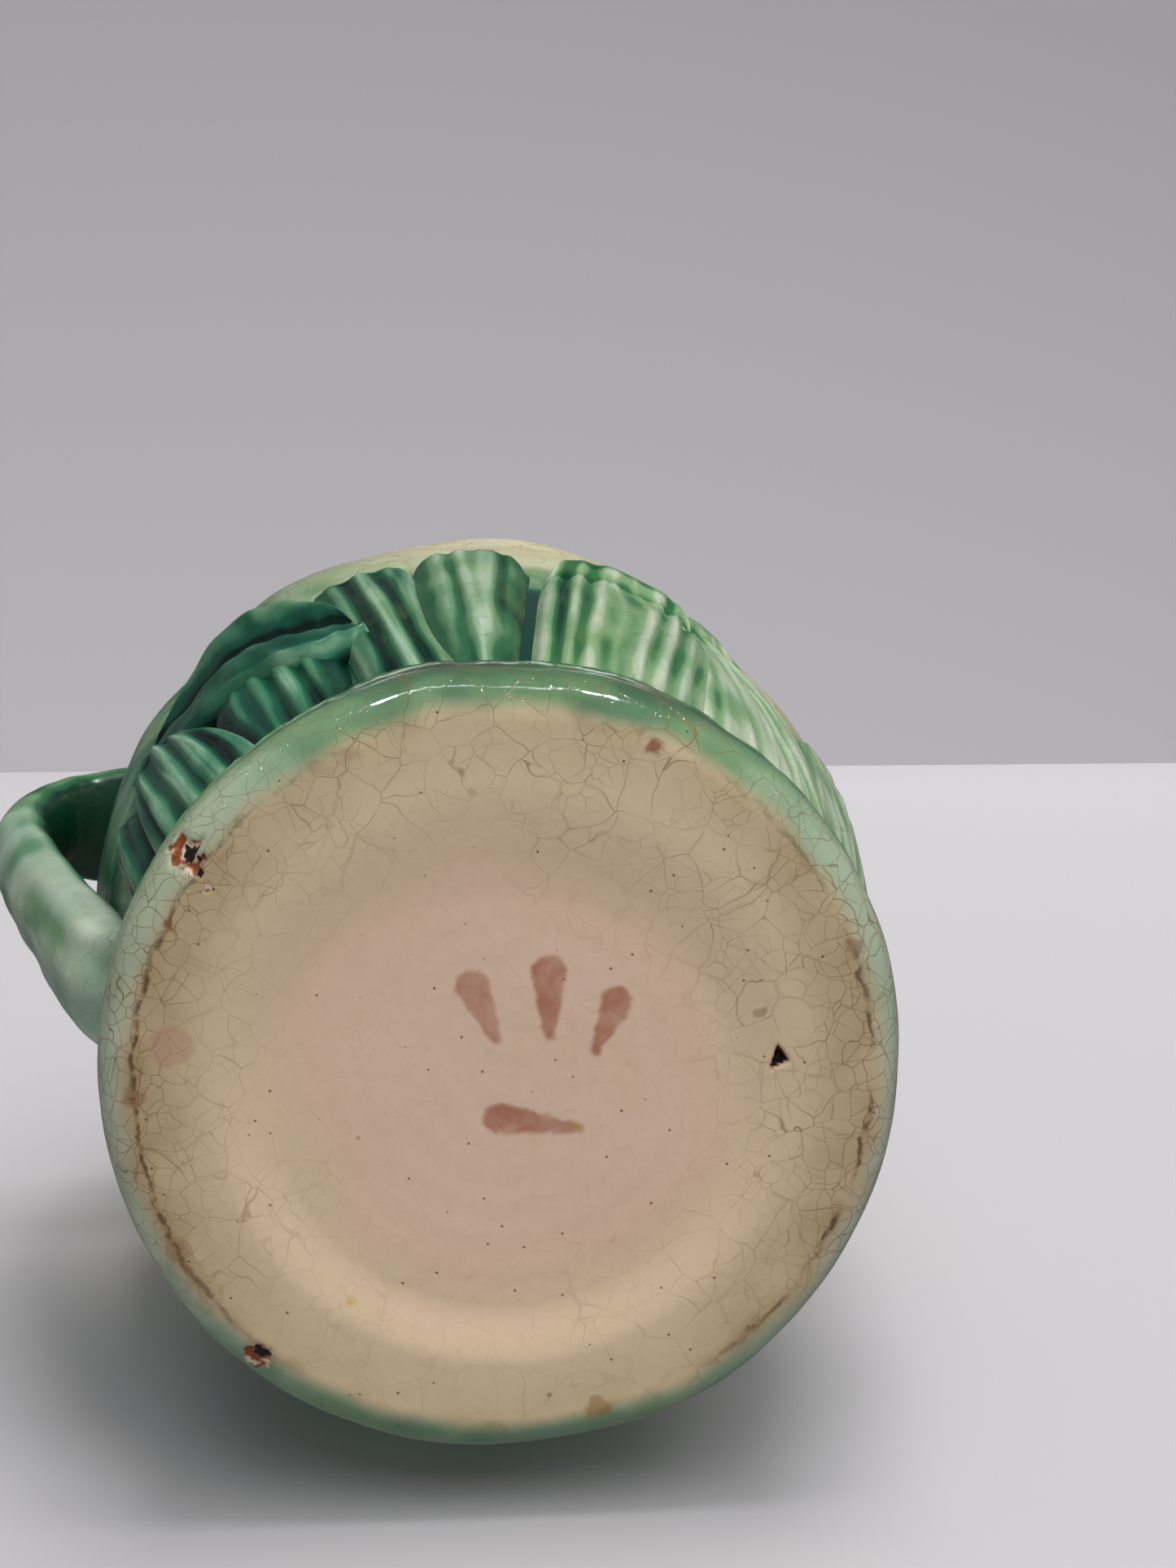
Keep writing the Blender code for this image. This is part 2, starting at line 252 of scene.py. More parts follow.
def ripple(seed, x, y, size):
    """A smooth random field between about -1 and 1 whose hills are about size apart."""
    rng = np.random.default_rng(seed)
    total = np.zeros(np.broadcast(x, y).shape)
    for _ in range(7):
        direction = rng.uniform(0, 2 * math.pi)
        wave = 2 * math.pi / (size * rng.uniform(0.7, 1.6))
        phase = rng.uniform(0, 2 * math.pi)
        total = total + np.sin(wave * (x * math.cos(direction) + y * math.sin(direction)) + phase)
    return total / 3.0


def outside_triangle(x, y, corners):
    """How far a point lies outside a triangle, negative inside; corners run anticlockwise."""
    gaps = []
    for (ax, ay), (bx, by) in zip(corners, corners[1:] + corners[:1]):
        length = math.hypot(bx - ax, by - ay)
        gaps.append(((by - ay) * (x - ax) - (bx - ax) * (y - ay)) / length)
    return np.max(gaps, axis=0)


# ---------------------------------------------------------------- meshes
def mesh_object(name, points, quads, attributes, material):
    """A smooth mesh piece in the jug's own frame, given in millimetres, riding on the root."""
    points = np.asarray(points, float)
    a, b, c, d = (points[quads[:, k]] for k in range(4))
    volume = (np.cross(b - a, c - a) * a).sum() + (np.cross(c - a, d - a) * a).sum()
    if volume < 0:
        quads = quads[:, ::-1]
    mesh = bpy.data.meshes.new(name)
    mesh.from_pydata((points * MM).tolist(), [], quads.tolist())
    mesh.validate()
    mesh.shade_smooth()
    for key, values in attributes.items():
        layer = mesh.attributes.new(key, "FLOAT", "POINT")
        layer.data.foreach_set("value", np.asarray(values, np.float32).ravel())
    mesh.materials.append(material)
    piece = bpy.data.objects.new(name, mesh)
    bpy.context.scene.collection.objects.link(piece)
    piece.location = (AXIS_X, 0.0, 0.0)
    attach(piece, "root")
    return piece


def grid_quads(rows, cols, wrap):
    """Corner numbers of a grid's quads; wrap joins the last column to the first."""
    i, j = np.meshgrid(np.arange(rows - 1), np.arange(cols if wrap else cols - 1), indexing="ij")
    k = (j + 1) % cols
    return np.stack([i * cols + j, i * cols + k, (i + 1) * cols + k, (i + 1) * cols + j],
                    -1).reshape(-1, 4)


def turned_piece(name, points, attributes, material):
    """A closed solid of revolution: rows run from the axis at one end to the axis at the other."""
    rows, cols, _ = points.shape
    return mesh_object(name, points.reshape(-1, 3), grid_quads(rows, cols, True),
                       attributes, material)


def plate_piece(name, front, back, attributes, material):
    """A closed plate: two grids of the same size, sewn together round their edges."""
    rows, cols, _ = front.shape
    count = rows * cols
    sheet = grid_quads(rows, cols, False)
    edge = np.concatenate([np.arange(cols), np.arange(1, rows) * cols + cols - 1,
                           count - 2 - np.arange(cols - 1),
                           np.arange(rows - 2, 0, -1) * cols])
    following = np.roll(edge, -1)
    rim = np.stack([following, edge, edge + count, following + count], -1)
    quads = np.vstack([sheet, sheet[:, ::-1] + count, rim])
    both = {key: np.concatenate([values.ravel(), values.ravel()])
            for key, values in attributes.items()}
    return mesh_object(name, np.vstack([front.reshape(-1, 3), back.reshape(-1, 3)]), quads,
                       both, material)


def round_axis(radius, azimuth, z):
    """Points from radius, azimuth in radians and height."""
    return np.stack([radius * np.cos(azimuth), radius * np.sin(azimuth),
                     np.broadcast_to(z, np.shape(radius))], -1)


# ---------------------------------------------------------------- glazes
def srgb(red, green, blue):
    """A linear colour from the usual 0 to 255 numbers."""
    def linear(v):
        v /= 255.0
        return v / 12.92 if v <= 0.04045 else ((v + 0.055) / 1.055) ** 2.4
    return (linear(red), linear(green), linear(blue), 1.0)


class Field:
    """A value in a glaze's node tree that can be added to and multiplied like a number."""

    def __init__(self, glaze, socket):
        self.glaze, self.socket = glaze, socket

    def __add__(self, other):
        return self.glaze.math("ADD", self, other)

    def __sub__(self, other):
        return self.glaze.math("SUBTRACT", self, other)

    def __mul__(self, other):
        return self.glaze.math("MULTIPLY", self, other)


class Glaze:
    """A node material, with one short method for each kind of node that the glazes use."""

    def __init__(self, name):
        self.material = bpy.data.materials.new(name)
        self.material.use_nodes = True
        self.tree = self.material.node_tree
        self.shader = self.tree.nodes["Principled BSDF"]
        self.place = self.vector("SCALE", self.node("TexCoord", "Object", {}), scale=1 / MM)

    def plug(self, socket, value):
        if isinstance(value, Field):
            self.tree.links.new(value.socket, socket)
        elif value is not None:
            socket.default_value = value

    def node(self, kind, output, inputs, **settings):
        """Adds a node, plugs in its inputs and gives one of its outputs."""
        node = self.tree.nodes.new("ShaderNode" + kind)
        for key, value in settings.items():
            setattr(node, key, value)
        for key, value in inputs.items():
            self.plug(node.inputs[key], value)
        return Field(self, node.outputs[output])

    def vector(self, operation, a, b=None, scale=None):
        output = "Value" if operation in ("LENGTH", "DISTANCE", "DOT_PRODUCT") else "Vector"
        return self.node("VectorMath", output, {0: a, 1: b, 3: scale}, operation=operation)

    def math(self, operation, a, b=None, clamp=False):
        return self.node("Math", 0, {0: a, 1: b}, operation=operation, use_clamp=clamp)

    def most(self, *values):
        total = values[0]
        for value in values[1:]:
            total = self.math("MAXIMUM", total, value)
        return total

    def step(self, value, low, high, start=0.0, end=1.0):
        """start below low, end above high, smooth between; low may be above high."""
        if low > high:
            low, high, start, end = high, low, end, start
        return self.node("MapRange", 0, {0: value, 1: low, 2: high, 3: start, 4: end},
                         interpolation_type="SMOOTHSTEP")

    def mix(self, factor, a, b):
        return self.node("Mix", 2, {0: factor, 6: a, 7: b}, data_type="RGBA")

    def noise(self, size, detail=2.0, stretch=None, output="Fac"):
        """Noise from 0 to 1 with features about size millimetres apart."""
        at = self.place if stretch is None else self.vector("MULTIPLY", self.place, stretch)
        return self.node("TexNoise", output, {"Vector": at, "Scale": 1.0 / size, "Detail": detail})

    def cells(self, size, output, feature="F1", at=None):
        """A value of the Voronoi cells about size millimetres across."""
        return self.node("TexVoronoi", output, {"Vector": at or self.place, "Scale": 1.0 / size},
                         feature=feature)

    def crackle(self, size, width, at=None):
        """Fine craze lines round cells of that size: 1 on a line, 0 away from it."""
        edge = self.cells(size, "Distance", "DISTANCE_TO_EDGE", at)
        return self.step(edge, 0.0, width / size, 1.0, 0.0)

    def specks(self, size, rarity, near, far, strength, at=None):
        """Round specks in a few of the cells of that size."""
        colour = self.cells(size, "Color", at=at)
        distance = Field(self, colour.socket.node.outputs["Distance"])
        return self.step(distance, near, far, 1.0, 0.0) * self.step(colour, *rarity) * strength

    def attribute(self, name):
        return self.node("Attribute", "Fac", {}, attribute_name=name)

    def part(self, axis):
        """One coordinate of the place in millimetres: X, Y or Z."""
        return self.node("SeparateXYZ", axis, {0: self.place})

    def flat(self):
        """The place in millimetres, dropped onto the plane Z = 0."""
        return self.vector("MULTIPLY", self.place, (1.0, 1.0, 0.0))

    def warped(self, size, amount, detail=1.5):
        """The place pushed about by noise, so that cell borders run crooked."""
        push = self.vector("SUBTRACT", self.noise(size, detail, output="Color"), (0.5,) * 3)
        return self.vector("ADD", self.place, self.vector("SCALE", push, scale=amount))

    def ramp(self, factor, stops):
        """A smooth colour ramp from (position, colour) pairs."""
        colour = self.node("ValToRGB", "Color", {0: factor})
        ramp = colour.socket.node.color_ramp
        ramp.interpolation = "EASE"
        while len(ramp.elements) < len(stops):
            ramp.elements.new(0.5)
        for element, (position, tint) in zip(ramp.elements, stops):
            element.position, element.color = position, tint
        return colour

    def finish(self, colour, height, roughness, depth, gloss=0.5):
        """Joins the colour and the relief to the shader; depth is the relief in millimetres."""
        relief = self.node("Bump", 0, {"Strength": 1.0, "Distance": depth * MM, "Height": height})
        for key, value in (("Base Color", colour), ("Roughness", roughness), ("Normal", relief),
                           ("IOR", 1.5), ("Specular IOR Level", gloss)):
            self.plug(self.shader.inputs[key], value)
        return self.material


def green_glaze(g, pool_and_shade, tone):
    """The copper green, from its pale thin coat on high ribs to the dark glaze pooled in the
    grooves;
    its darkness also carries painted shade in creases and on faces turned from the light.
    tone runs from the teal of the handle side to the yellow-green of the lip side."""
    teal = g.ramp(pool_and_shade, [(0.0, srgb(164, 190, 168)), (0.22, srgb(110, 154, 126)),
                         (0.44, srgb(54, 112, 84)), (0.68, srgb(12, 70, 54)),
                         (1.0, srgb(0, 24, 22))])
    light = g.ramp(pool_and_shade, [(0.0, srgb(192, 200, 176)), (0.22, srgb(160, 174, 148)),
                          (0.44, srgb(114, 146, 104)), (0.68, srgb(46, 100, 60)),
                          (1.0, srgb(6, 50, 32))])
    return g.mix(tone, teal, light)


def leaf_glaze():
    g = Glaze("leaf_glaze")
    patches = g.noise(9.0, 3.0)
    streaks = g.noise(2.2, 4.0, stretch=(1.0, 1.0, 0.25))
    mottle = (patches - 0.5) * 0.2 + (streaks - 0.5) * 0.22
    pool_and_shade = g.math("ADD", g.attribute("pool_and_shade"), mottle, clamp=True)
    tone = g.math("ADD", g.attribute("tone"), (patches - 0.5) * 0.5, clamp=True)
    colour = green_glaze(g, pool_and_shade, tone)
    olive = g.step(g.noise(6.0, 1.0, stretch=(1.0, 1.0, 0.5)), 0.56, 0.7) * 0.25
    colour = g.mix(olive * g.attribute("tone"), colour, srgb(112, 142, 70))
    lines = g.crackle(3.2, 0.09, g.warped(2.0, 1.6)) * g.step(g.noise(7.0), 0.45, 0.62) * 0.4
    colour = g.mix(lines, colour, srgb(50, 74, 44))
    specks = g.specks(1.5, (0.72, 0.74), 0.05, 0.11, 0.7)
    colour = g.mix(specks, colour, srgb(40, 50, 30))
    skin = g.noise(1.1, 3.0) + g.noise(4.0, 1.0) * 1.5 + specks * -0.7
    return g.finish(colour, skin, g.step(streaks, 0.3, 0.7, 0.22, 0.32), 0.03, gloss=0.2)


def handle_glaze():
    g = Glaze("handle_glaze")
    streaks = g.noise(5.0, 3.0, stretch=(1.0, 1.0, 0.3))
    pool_and_shade = g.math("ADD", g.attribute("pool_and_shade"), (streaks - 0.5) * 0.34, clamp=True)
    colour = green_glaze(g, pool_and_shade, g.step(g.noise(14.0), 0.35, 0.65, 0.4, 0.8))
    bloom = g.step(g.noise(8.0, 3.0), 0.3, 0.7) * g.step(pool_and_shade, 0.5, 0.2) * 0.4
    colour = g.mix(bloom, colour, srgb(170, 186, 172))
    lines = g.crackle(3.6, 0.09, g.warped(2.0, 1.6)) * g.step(g.noise(7.0), 0.4, 0.6) * 0.4
    colour = g.mix(lines, colour, srgb(52, 76, 46))
    skin = g.noise(1.2, 3.0) + streaks * 1.2
    return g.finish(colour, skin, g.step(streaks, 0.3, 0.7, 0.22, 0.34), 0.04, gloss=0.35)


def body_glaze():
    """Pale yellow on the belly, green washed over it low down and at the rim, cream inside."""
    g = Glaze("body_glaze")
    across, height = g.part("X"), g.part("Z")
    outside = g.attribute("outside")
    patches = g.noise(18.0, 3.0)
    clouds = g.noise(5.0, 4.0)
    yellow = g.mix(g.step(patches, 0.35, 0.65), srgb(204, 194, 152), srgb(215, 207, 176))
    yellow = g.mix(g.step(clouds, 0.5, 0.75) * 0.35, yellow, srgb(196, 176, 112))
    deep = g.most(g.step(clouds, 0.3, 0.8, 0.3, 0.6), g.step(height, 58.0, 48.0, 0.0, 0.84))
    green = green_glaze(g, deep, g.step(patches, 0.4, 0.6) * g.step(height, 48.0, 60.0))

    # The green climbs higher on the side of the handle.
    climb = g.step(across, -12.0, -44.0) * -24.0
    ragged = height + (g.noise(7.0, 3.0) - 0.5) * 9.0 + climb
    low = g.step(ragged, GLAZE_LINE + 6.0, GLAZE_LINE - 3.0)
    veil = (g.step(ragged, GLAZE_LINE + 26.0, GLAZE_LINE - 2.0)
            * g.step(across, 4.0, -24.0, 0.35, 0.85))
    rim = g.step(ragged, RIM_HEIGHT - 7.0, RIM_HEIGHT + 1.0) * 0.75
    colour = g.mix(g.most(low, veil, rim) * outside, yellow, green)
    cream = g.mix(g.step(clouds, 0.35, 0.7), srgb(222, 205, 180), srgb(208, 186, 160))
    colour = g.mix(outside, cream, colour)

    warped = g.warped(3.0, 2.4)
    lines = g.most(g.crackle(5.5, 0.12, warped) * 0.6,
                   g.crackle(2.6, 0.1, warped) * g.step(g.noise(9.0), 0.5, 0.62) * 0.45)
    lines = lines * g.step(height, GLAZE_LINE - 4.0, GLAZE_LINE + 6.0)
    colour = g.mix(lines, colour, srgb(132, 106, 66))
    pinholes = g.specks(3.2, (0.8, 0.82), 0.03, 0.07, 0.8)
    colour = g.mix(pinholes, colour, srgb(60, 44, 30))
    bare = g.attribute("edge") * g.step(g.noise(2.5, 3.0), 0.5, 0.62) * 0.45
    colour = g.mix(bare, colour, srgb(120, 86, 54))
    skin = g.noise(1.6, 3.0) + clouds * 1.5 + lines * -0.35
    return g.finish(colour, skin, g.step(clouds, 0.3, 0.7, 0.16, 0.26), 0.05, gloss=0.28)


def spot(g, azimuth, radius, size):
    """1 inside a ragged spot on the underside, 0 outside."""
    centre = (*polar(azimuth, radius), 0.0)
    distance = g.vector("DISTANCE", g.flat(), centre) + (g.noise(1.2, 3.0) - 0.5) * 1.6
    return g.step(distance, size + 0.35, size - 0.35)


def dab(g, x, y, heading, length, width):
    """The distance in millimetres from a short brush stroke's outline, negative inside it."""
    along = Vector((math.cos(math.radians(heading)), math.sin(math.radians(heading)), 0.0))
    start = Vector((x, y, 0.0)) - along * length / 2
    offset = g.vector("SUBTRACT", g.flat(), tuple(start))
    ahead = g.vector("DOT_PRODUCT", offset, tuple(along))
    reach = g.math("MINIMUM", g.most(ahead, 0.0), length)
    distance = g.vector("DISTANCE", offset, g.vector("SCALE", tuple(along), scale=reach))
    taper = reach * (0.35 / length * width)
    return distance + (g.noise(1.6, 3.0) - 0.5) * 1.1 - width / 2 + taper


def foot_green(g, colour, radius, across, up, height, sides):
    """The green drawn round the foot's edge: further in on the -Y and +Y sides than between."""
    top_side = g.step(up, 12.0, -30.0)
    far_side = g.step(up, 20.0, 40.0)
    reach = radius + (g.noise(9.0, 2.0) - 0.5) * 2.4 + top_side + far_side * 1.8
    amount = g.step(reach, 38.5, 41.2, 0.0, 0.94)
    amount = g.most(amount, g.step(height, 0.8, 2.4, 0.0, 0.94) * g.step(radius, 35.0, 37.0))
    # The +Y side, turned towards the table, is darkened with painted shade.
    pool_and_shade = (height * 0.03 + (g.noise(5.0, 2.0) - 0.5) * 0.26 + 0.08 + far_side * 0.3
            + top_side * g.step(g.math("ABSOLUTE", across), 34.0, 10.0, 0.12, 0.44))
    # Painted shade darkens the seam on both sides of its crest, and the crest's pale, broken line
    # is a painted highlight.
    seam = g.most(g.step(height, 5.9, 6.2) * g.step(height, 6.75, 6.6),
                  g.step(height, 6.95, 7.1))
    pool_and_shade = pool_and_shade + seam * top_side * 0.16
    tone = g.most(g.step(g.noise(12.0), 0.4, 0.6, 0.25, 0.7), sides)
    colour = g.mix(amount, colour, green_glaze(g, pool_and_shade, tone))
    # The crest's pale broken line is a painted highlight.
    crest = (g.step(height, 6.66, 6.74) * g.step(height, 7.0, 6.9)
             * g.step(g.noise(1.6, 2.0), 0.45, 0.56) * 0.4)
    return g.mix(crest, colour, srgb(150, 184, 158))


def foot_glaze():
    """Crackled cream on the underside, with the green of the sides drawn round its edge."""
    g = Glaze("foot_glaze")
    radius = g.vector("LENGTH", g.flat())
    across, up, height = g.part("X"), g.part("Y"), g.part("Z")
    broad = g.noise(24.0, 2.0)
    cloud = g.noise(8.0, 3.0)
    fine = g.noise(1.4, 4.0)
    blush = g.step(radius + (broad - 0.5) * 16.0, 30.0, 14.0)
    colour = g.mix(blush, srgb(212, 188, 156), srgb(217, 186, 164))
    colour = g.mix(g.step(cloud, 0.5, 0.75) * 0.3, colour, srgb(208, 188, 152))
    colour = g.mix(g.step(fine, 0.45, 0.7) * 0.12, colour, srgb(186, 158, 126))

    # Thicker, yellower glaze lies on the ring. Its left and right are browner: body stain has
    # crept in along the crazing, and ends in a broken dark line near the edge.
    ring = g.step(radius, 29.0, 36.5) * g.step(cloud, 0.3, 0.7, 0.5, 0.9)
    colour = g.mix(ring, colour, srgb(194, 174, 136))
    sides = g.step(g.math("ABSOLUTE", across), 14.0, 38.0) * g.step(radius, 27.0, 38.5)
    colour = g.mix(sides * g.step(cloud, 0.25, 0.7, 0.35, 0.75), colour, srgb(158, 134, 98))
    drift = radius + (g.noise(6.0, 3.0) - 0.5) * 3.0
    band = g.step(drift, 36.4, 38.2) * g.step(drift, 40.0, 38.4)
    patchy = g.step(g.noise(5.0, 4.0), 0.46, 0.7)
    colour = g.mix(band * patchy * 0.35, colour, srgb(124, 90, 52))
    crooked = radius + (g.noise(3.0, 4.0) - 0.5) * 2.2
    creep = (g.step(crooked, 37.9, 38.3) * g.step(crooked, 38.9, 38.4) * sides
             * g.step(g.noise(8.0, 2.0), 0.34, 0.5) * g.step(fine, 0.38, 0.55, 0.3, 1.0))
    colour = g.mix(creep * 0.9, colour, srgb(88, 54, 30))
    colour = foot_green(g, colour, radius, across, up, height, sides)

    # Craze lines: crooked ones everywhere, finer ones between them, stained towards the edge.
    warped = g.warped(5.0, 2.8)
    outer = g.step(radius + (broad - 0.5) * 18.0 + across * 0.10, 16.0, 38.0)
    long_lines = g.crackle(4.6, 0.065, warped) * g.step(g.noise(6.0, 2.0), 0.35, 0.65, 0.35, 1.0)
    short_lines = g.crackle(2.3, 0.055, warped)
    lines = g.most(long_lines * g.step(outer, 0.0, 1.0, 0.12, 0.75),
                   short_lines * g.step(cloud, 0.4, 0.6) * g.step(outer, 0.0, 1.0, 0.05, 0.5),
                   long_lines * sides * 0.9, short_lines * sides * 0.8)
    lines = lines * g.step(up, 34.0, 8.0, 0.3, 1.0) * g.step(height, 6.0, 4.6)
    halo = g.crackle(4.6, 0.5, warped) * outer * g.step(g.noise(7.0, 2.0), 0.5, 0.7) * 0.2
    colour = g.mix(halo, colour, srgb(150, 112, 70))
    colour = g.mix(lines, colour, srgb(118, 80, 48))

    # Iron specks, pinholes and stains.
    aside = g.vector("ADD", g.place, (3.0, 7.0, 1.0))
    colour = g.mix(g.specks(5.2, (0.74, 0.78), 0.03, 0.09, 0.6, aside), colour, srgb(118, 70, 38))
    pinholes = g.specks(1.7, (0.6, 0.62), 0.05, 0.11, 0.75)
    colour = g.mix(pinholes, colour, srgb(46, 34, 26))
    for azimuth, distance, size, strength, tint in FOOT_STAINS:
        colour = g.mix(spot(g, azimuth, distance, size) * strength, colour, srgb(*tint))

    # A few plain russet brush dabs, thin in the middle and darker round their outlines.
    stroke = dab(g, *FOOT_DABS[0])
    for mark in FOOT_DABS[1:]:
        stroke = g.math("MINIMUM", stroke, dab(g, *mark))
    wash = g.step(stroke, 0.35, -0.35) * g.step(g.noise(3.0, 3.0), 0.3, 0.7, 0.5, 0.85)
    outline = g.step(stroke, 0.3, -0.1) * g.step(stroke, -1.1, -0.2) * 0.35
    colour = g.mix(g.most(wash, outline), colour, srgb(160, 92, 66))

    # Chips through the glaze show pale clay and rust, with a near-black core; the black in the
    # three-cornered pit is painted shade.
    bare = g.step(g.attribute("bare"), 0.25, 0.55)
    clay = g.mix(g.step(g.noise(1.6, 2.0), 0.4, 0.55), srgb(214, 192, 168), srgb(132, 66, 26))
    colour = g.mix(bare, colour, clay)
    colour = g.mix(g.step(g.attribute("deep"), 0.45, 0.8), colour, srgb(24, 12, 9))

    skin = (g.noise(3.0, 2.0) * 0.9 + g.noise(0.9, 2.0) * 0.35 + lines * -0.5
            + pinholes * -1.6 + wash * 0.15)
    shine = (g.step(cloud, 0.3, 0.7, 0.07, 0.12) + bare * 0.5
             + g.step(height, 1.5, 0.2, 0.0, 0.12) + g.step(height, 5.7, 6.2, 0.0, 0.2))
    return g.finish(colour, skin, shine, 0.05)


# ---------------------------------------------------------------- pieces
def foot():
    """The foot disc: shallow hollow, flat ring, rounded edge, and the luted seam above it."""
    cols = 560
    azimuth = np.linspace(0, 2 * math.pi, cols, endpoint=False)
    flat_r = np.concatenate([np.linspace(0.02, 20, 36, endpoint=False),
                             np.linspace(20, FOOT_RADIUS - FOOT_EDGE_WIDTH, 60, endpoint=False)])
    sweep = np.linspace(0, math.pi / 2, 26)
    edge_r = FOOT_RADIUS - FOOT_EDGE_WIDTH * (1 - np.sin(sweep))
    edge_z = FOOT_EDGE_RISE * (1 - np.cos(sweep))
    seam = [(-0.10, 6.15), (-0.12, 6.35), (0.05, 6.5), (0.25, 6.62), (0.42, 6.8), (0.55, 7.0),
            (0.6, 7.25), (0.5, 7.5), (0.2, 7.8), (-0.5, 8.0), (-1.5, 8.2), (-6.0, 8.2)]
    radius = np.concatenate([flat_r, edge_r, [FOOT_RADIUS + dr for dr, _ in seam]])
    height = np.concatenate([np.zeros(len(flat_r)), edge_z, [z for _, z in seam]])
    rows = len(radius)
    R = np.repeat(radius[:, None], cols, 1)
    Z = np.repeat(height[:, None], cols, 1)
    A = np.repeat(azimuth[None, :], rows, 0)
    X, Y = R * np.cos(A), R * np.sin(A)

    outer = smoothstep(R, 30, FOOT_RADIUS)
    R = R + outer * (out_of_round(np.degrees(A), FOOT_SWELLS) + 0.04 * ripple(3, X, Y, 11.0))
    # The hollow of the foot runs out more gently on the -Y side.
    gentle = RECESS_INNER - 7.0 * bump(turn_between(np.degrees(A), -90.0), 0, 70.0)
    flat = (np.arange(rows) < len(flat_r))[:, None]
    Z = np.where(flat, RECESS_DEPTH * smoothstep((RECESS_OUTER - R) / (RECESS_OUTER - gentle)), Z)
    hollow = smoothstep(-R, -RECESS_OUTER, -RECESS_INNER + 3)
    Z = Z + hollow * (0.06 * ripple(5, X, Y, 24.0) + 0.012 * ripple(6, X, Y, 7.0))
    Z = Z + hollow * 0.012 * np.sin(R * 1.7)
    lip = smoothstep(Z, 6.4, 7.0)
    proud = 0.15 + 0.85 * bump(turn_between(np.degrees(A), -98.0), 0, 42.0)
    R = R - lip * (1 - proud) * 0.7
    R = R + lip * (0.08 * ripple(8, X, Y, 6.0) + 0.05 * ripple(9, X, Y, 1.6))
    Z = Z + lip * 0.08 * ripple(10, X, Y, 3.0)
    edge = smoothstep(Z, 0.6, 3.0) * (1 - lip)
    R = R + edge * (0.04 * ripple(11, X, Z * 3 + Y, 6.0))

    bare, deep = np.zeros(R.shape), np.zeros(R.shape)
    below = smoothstep(-Z, -5.5, -4.0)
    for place, distance, size, depth in CHIPS:
        cx, cy = polar(place, distance)
        ragged = np.hypot(X - cx, Y - cy) + 0.28 * ripple(int(distance * 7), X, Y, 1.3) * size
        dent = smoothstep(-ragged, -size * 1.05, -size * 0.6) * below
        Z = Z + dent * depth * (0.75 + 0.25 * ripple(31, X, Y, 0.9))
        bare = np.maximum(bare, dent)
        core = np.hypot(X - cx * 0.985, Y - cy * 0.985 + 0.15 * size)
        core = core + 0.2 * ripple(int(distance * 5), X, Y, 1.0) * size
        deep = np.maximum(deep, smoothstep(-core, -size * 0.62, -size * 0.35) * below)
    cx, cy = polar(*PIT_PLACE)
    gap = outside_triangle(X - cx, Y - cy, PIT_CORNERS)
    Z = Z + below * (PIT_DEPTH * smoothstep(-gap, -0.1, 0.45) - 0.08 * bump(gap, 0.45, 0.3))
    bare = np.maximum(bare, below * 0.5 * smoothstep(-gap, -0.35, 0.0))
    # deep marks the pit's hollow, painted black in the glaze as painted shade.
    deep = np.maximum(deep, below * smoothstep(-gap, -0.1, 0.15))
    Z = np.maximum(Z, 0.0)
    points = round_axis(R, A, Z)
    piece = turned_piece("foot_glazed", points, {"bare": bare, "deep": deep}, foot_glaze())
    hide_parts("foot_disc")


def draw_spout(radius, azimuth, height):
    """The same pull of the upper wall into a lip around +X as in the CAD."""
    rise = smoothstep(height, SPOUT_START, RIM_HEIGHT)
    pull = rise * np.exp(-(azimuth / SPOUT_SPREAD) ** 2)
    return radius + SPOUT_REACH * pull, height + SPOUT_LIFT * pull * rise


def body():
    """The belly, neck, rim and inside: one wall, softly uneven as a hand-finished casting is."""
    cols = 360
    azimuth = np.linspace(-math.pi, math.pi, cols, endpoint=False)
    outer = hermite(WALL_OUTLINE, np.linspace(0, 1, 170))
    inner = outer[::-1].copy()
    inner[:, 0] -= WALL_THICK
    inner = inner[inner[:, 1] > FLOOR_TOP + 5]
    turn = np.linspace(0, math.pi, 11)[1:-1]
    half = WALL_THICK / 2
    lip_r = RIM_RADIUS - half + half * np.cos(turn)
    lip_z = RIM_HEIGHT + 0.9 * np.sin(turn)
    cove = np.linspace(0, math.pi / 2, 10)[1:]
    cove_r = inner[-1, 0] - 8 * (1 - np.cos(cove))
    cove_z = FLOOR_TOP + (inner[-1, 1] - FLOOR_TOP) * (1 - np.sin(cove))
    radius = np.concatenate([[0.02], outer[:, 0], lip_r, inner[:, 0], cove_r, [20.0, 10.0, 0.02]])
    height = np.concatenate([[outer[0, 1]], outer[:, 1], lip_z, inner[:, 1], cove_z,
                             [FLOOR_TOP] * 3])
    count = len(outer) + 1
    outside = np.concatenate([np.ones(count), smoothstep(np.cos(turn), -0.6, 0.3),
                              np.zeros(len(radius) - count - len(turn))])
    edge = np.zeros(len(radius))
    edge[count - 1:count + len(turn) + 1] = 1.0
    R = np.repeat(radius[:, None], cols, 1)
    Z = np.repeat(height[:, None], cols, 1)
    A = np.repeat(azimuth[None, :], len(radius), 0)
    R = R + belly_radius(np.degrees(A), Z) - wall_radius(Z)
    R, Z = draw_spout(R, A, Z)
    X, Y = R * np.cos(A), R * np.sin(A)
    free = smoothstep(Z, 60, 80)
    R = R + free * (0.22 * ripple(41, X + Z, Y - Z, 30.0) + 0.06 * ripple(42, X + Z, Y, 8.0))
    points = round_axis(R, A, Z)
    grids = {"outside": np.repeat(outside[:, None], cols, 1),
             "edge": np.repeat(edge[:, None], cols, 1)}
    piece = turned_piece("body_glazed", points, grids, body_glaze())
    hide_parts("body_wall")


